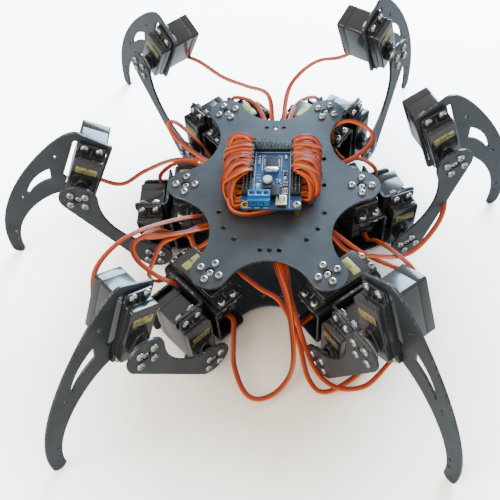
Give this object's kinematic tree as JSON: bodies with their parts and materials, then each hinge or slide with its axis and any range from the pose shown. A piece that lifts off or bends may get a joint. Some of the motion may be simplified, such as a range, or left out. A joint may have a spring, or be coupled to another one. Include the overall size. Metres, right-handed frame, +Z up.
{
  "type": "hexapod walking robot",
  "caption": "Six-legged walking robot on two star-shaped plates, with three-servo legs that end in curved claws and a servo controller on top.",
  "frame": {"origin": "centre of the bottom plate's underside", "axes": "+Z up, +Y towards the robot's back, +X to its right; the floor is 6.6 mm below the origin"},
  "size_m": [0.3932, 0.3838, 0.139],
  "materials": {
    "body_plate": "black anodised, satin",
    "bracket": "black anodised, satin",
    "limb_plate": "black anodised, satin",
    "servo_case": "glossy moulded black",
    "horn_metal": "machined",
    "circuit_board": "blue solder mask",
    "terminal_plastic": "moulded blue",
    "cable": "three-core servo ribbon, orange, red and brown",
    "steel": "zinc-plated pan head screws",
    "gold_label": "plain gold patch",
    "dark_plastic": "connector housings and chips"
  },
  "bodies": {
    "chassis": {"top_plate": "body_plate", "bottom_plate": "body_plate", "controller_board": "circuit_board", "terminal_block": "terminal_plastic", "cable_bundle_left": "cable", "cable_bundle_right": "cable"},
    "coxa_front_left": {"coxa_servo_front_left": "servo_case", "coxa_bracket_front_left": "bracket", "femur_bracket_front_left": "bracket", "femur_servo_front_left": "servo_case"},
    "femur_front_left": {"hip_horn_front_left": "horn_metal", "thigh_plate_front_left": "limb_plate", "knee_horn_front_left": "horn_metal"},
    "tibia_front_left": {"tibia_servo_front_left": "servo_case", "claw_front_left": "limb_plate"},
    "coxa_middle_left": {"coxa_servo_middle_left": "servo_case", "coxa_bracket_middle_left": "bracket", "femur_bracket_middle_left": "bracket", "femur_servo_middle_left": "servo_case"},
    "femur_middle_left": {"hip_horn_middle_left": "horn_metal", "thigh_plate_middle_left": "limb_plate", "knee_horn_middle_left": "horn_metal"},
    "tibia_middle_left": {"tibia_servo_middle_left": "servo_case", "claw_middle_left": "limb_plate"},
    "coxa_back_left": {"coxa_servo_back_left": "servo_case", "coxa_bracket_back_left": "bracket", "femur_bracket_back_left": "bracket", "femur_servo_back_left": "servo_case"},
    "femur_back_left": {"hip_horn_back_left": "horn_metal", "thigh_plate_back_left": "limb_plate", "knee_horn_back_left": "horn_metal"},
    "tibia_back_left": {"tibia_servo_back_left": "servo_case", "claw_back_left": "limb_plate"},
    "coxa_front_right": {"coxa_servo_front_right": "servo_case", "coxa_bracket_front_right": "bracket", "femur_bracket_front_right": "bracket", "femur_servo_front_right": "servo_case"},
    "femur_front_right": {"hip_horn_front_right": "horn_metal", "thigh_plate_front_right": "limb_plate", "knee_horn_front_right": "horn_metal"},
    "tibia_front_right": {"tibia_servo_front_right": "servo_case", "claw_front_right": "limb_plate"},
    "coxa_middle_right": {"coxa_servo_middle_right": "servo_case", "coxa_bracket_middle_right": "bracket", "femur_bracket_middle_right": "bracket", "femur_servo_middle_right": "servo_case"},
    "femur_middle_right": {"hip_horn_middle_right": "horn_metal", "thigh_plate_middle_right": "limb_plate", "knee_horn_middle_right": "horn_metal"},
    "tibia_middle_right": {"tibia_servo_middle_right": "servo_case", "claw_middle_right": "limb_plate"},
    "coxa_back_right": {"coxa_servo_back_right": "servo_case", "coxa_bracket_back_right": "bracket", "femur_bracket_back_right": "bracket", "femur_servo_back_right": "servo_case"},
    "femur_back_right": {"hip_horn_back_right": "horn_metal", "thigh_plate_back_right": "limb_plate", "knee_horn_back_right": "horn_metal"},
    "tibia_back_right": {"tibia_servo_back_right": "servo_case", "claw_back_right": "limb_plate"}
  },
  "joints": [
    {"name": "coxa_yaw_front_left", "type": "hinge", "parent": "chassis", "child": "coxa_front_left", "pos_m": [-0.039, -0.076, 0.02], "axis": [0, 0, 1], "range_deg": [-36, 34]},
    {"name": "hip_pitch_front_left", "type": "hinge", "parent": "coxa_front_left", "child": "femur_front_left", "pos_m": [-0.05848, -0.09653, 0.01175], "axis": [-0.7254, 0.6884, 0], "range_deg": [-77, 23]},
    {"name": "knee_pitch_front_left", "type": "hinge", "parent": "femur_front_left", "child": "tibia_front_left", "pos_m": [-0.08847, -0.12813, 0.07884], "axis": [-0.7254, 0.6884, 0], "range_deg": [-45, 40]},
    {"name": "coxa_yaw_middle_left", "type": "hinge", "parent": "chassis", "child": "coxa_middle_left", "pos_m": [-0.064, 0, 0.02], "axis": [0, 0, 1], "range_deg": [-38, 32]},
    {"name": "hip_pitch_middle_left", "type": "hinge", "parent": "coxa_middle_left", "child": "femur_middle_left", "pos_m": [-0.09227, -0.00123, 0.01175], "axis": [-0.0436, 0.999, 0], "range_deg": [-78, 22]},
    {"name": "knee_pitch_middle_left", "type": "hinge", "parent": "femur_middle_left", "child": "tibia_middle_left", "pos_m": [-0.13403, -0.00306, 0.07996], "axis": [-0.0436, 0.999, 0], "range_deg": [-43, 42]},
    {"name": "coxa_yaw_back_left", "type": "hinge", "parent": "chassis", "child": "coxa_back_left", "pos_m": [-0.039, 0.076, 0.02], "axis": [0, 0, 1], "range_deg": [-32, 38]},
    {"name": "hip_pitch_back_left", "type": "hinge", "parent": "coxa_back_left", "child": "femur_back_left", "pos_m": [-0.05812, 0.09687, 0.01175], "axis": [0.7373, 0.6756, 0], "range_deg": [-72, 28]},
    {"name": "knee_pitch_back_left", "type": "hinge", "parent": "femur_back_left", "child": "tibia_back_left", "pos_m": [-0.09139, 0.13318, 0.07479], "axis": [0.7373, 0.6756, 0], "range_deg": [-53, 32]},
    {"name": "coxa_yaw_front_right", "type": "hinge", "parent": "chassis", "child": "coxa_front_right", "pos_m": [0.039, -0.076, 0.02], "axis": [0, 0, 1], "range_deg": [-28, 42]},
    {"name": "hip_pitch_front_right", "type": "hinge", "parent": "coxa_front_right", "child": "femur_front_right", "pos_m": [0.05662, -0.09815, 0.01175], "axis": [-0.7826, -0.6225, 0], "range_deg": [-84, 16]},
    {"name": "knee_pitch_front_right", "type": "hinge", "parent": "femur_front_right", "child": "tibia_front_right", "pos_m": [0.07884, -0.12608, 0.08335], "axis": [-0.7826, -0.6225, 0], "range_deg": [-35, 50]},
    {"name": "coxa_yaw_middle_right", "type": "hinge", "parent": "chassis", "child": "coxa_middle_right", "pos_m": [0.064, 0, 0.02], "axis": [0, 0, 1], "range_deg": [-58, 12]},
    {"name": "hip_pitch_middle_right", "type": "hinge", "parent": "coxa_middle_right", "child": "femur_middle_right", "pos_m": [0.08995, 0.01128, 0.01175], "axis": [0.3987, -0.9171, 0], "range_deg": [-92, 8]},
    {"name": "knee_pitch_middle_right", "type": "hinge", "parent": "femur_middle_right", "child": "tibia_middle_right", "pos_m": [0.11262, 0.02114, 0.08783], "axis": [0.3987, -0.9171, 0], "range_deg": [-23, 62]},
    {"name": "coxa_yaw_back_right", "type": "hinge", "parent": "chassis", "child": "coxa_back_right", "pos_m": [0.039, 0.076, 0.02], "axis": [0, 0, 1], "range_deg": [-47, 23]},
    {"name": "hip_pitch_back_right", "type": "hinge", "parent": "coxa_back_right", "child": "femur_back_right", "pos_m": [0.05441, 0.09973, 0.01175], "axis": [0.8387, -0.5446, 0], "range_deg": [-86, 14]},
    {"name": "knee_pitch_back_right", "type": "hinge", "parent": "femur_back_right", "child": "tibia_back_right", "pos_m": [0.07179, 0.12649, 0.08511], "axis": [0.8387, -0.5446, 0], "range_deg": [-30, 55]}
  ]
}
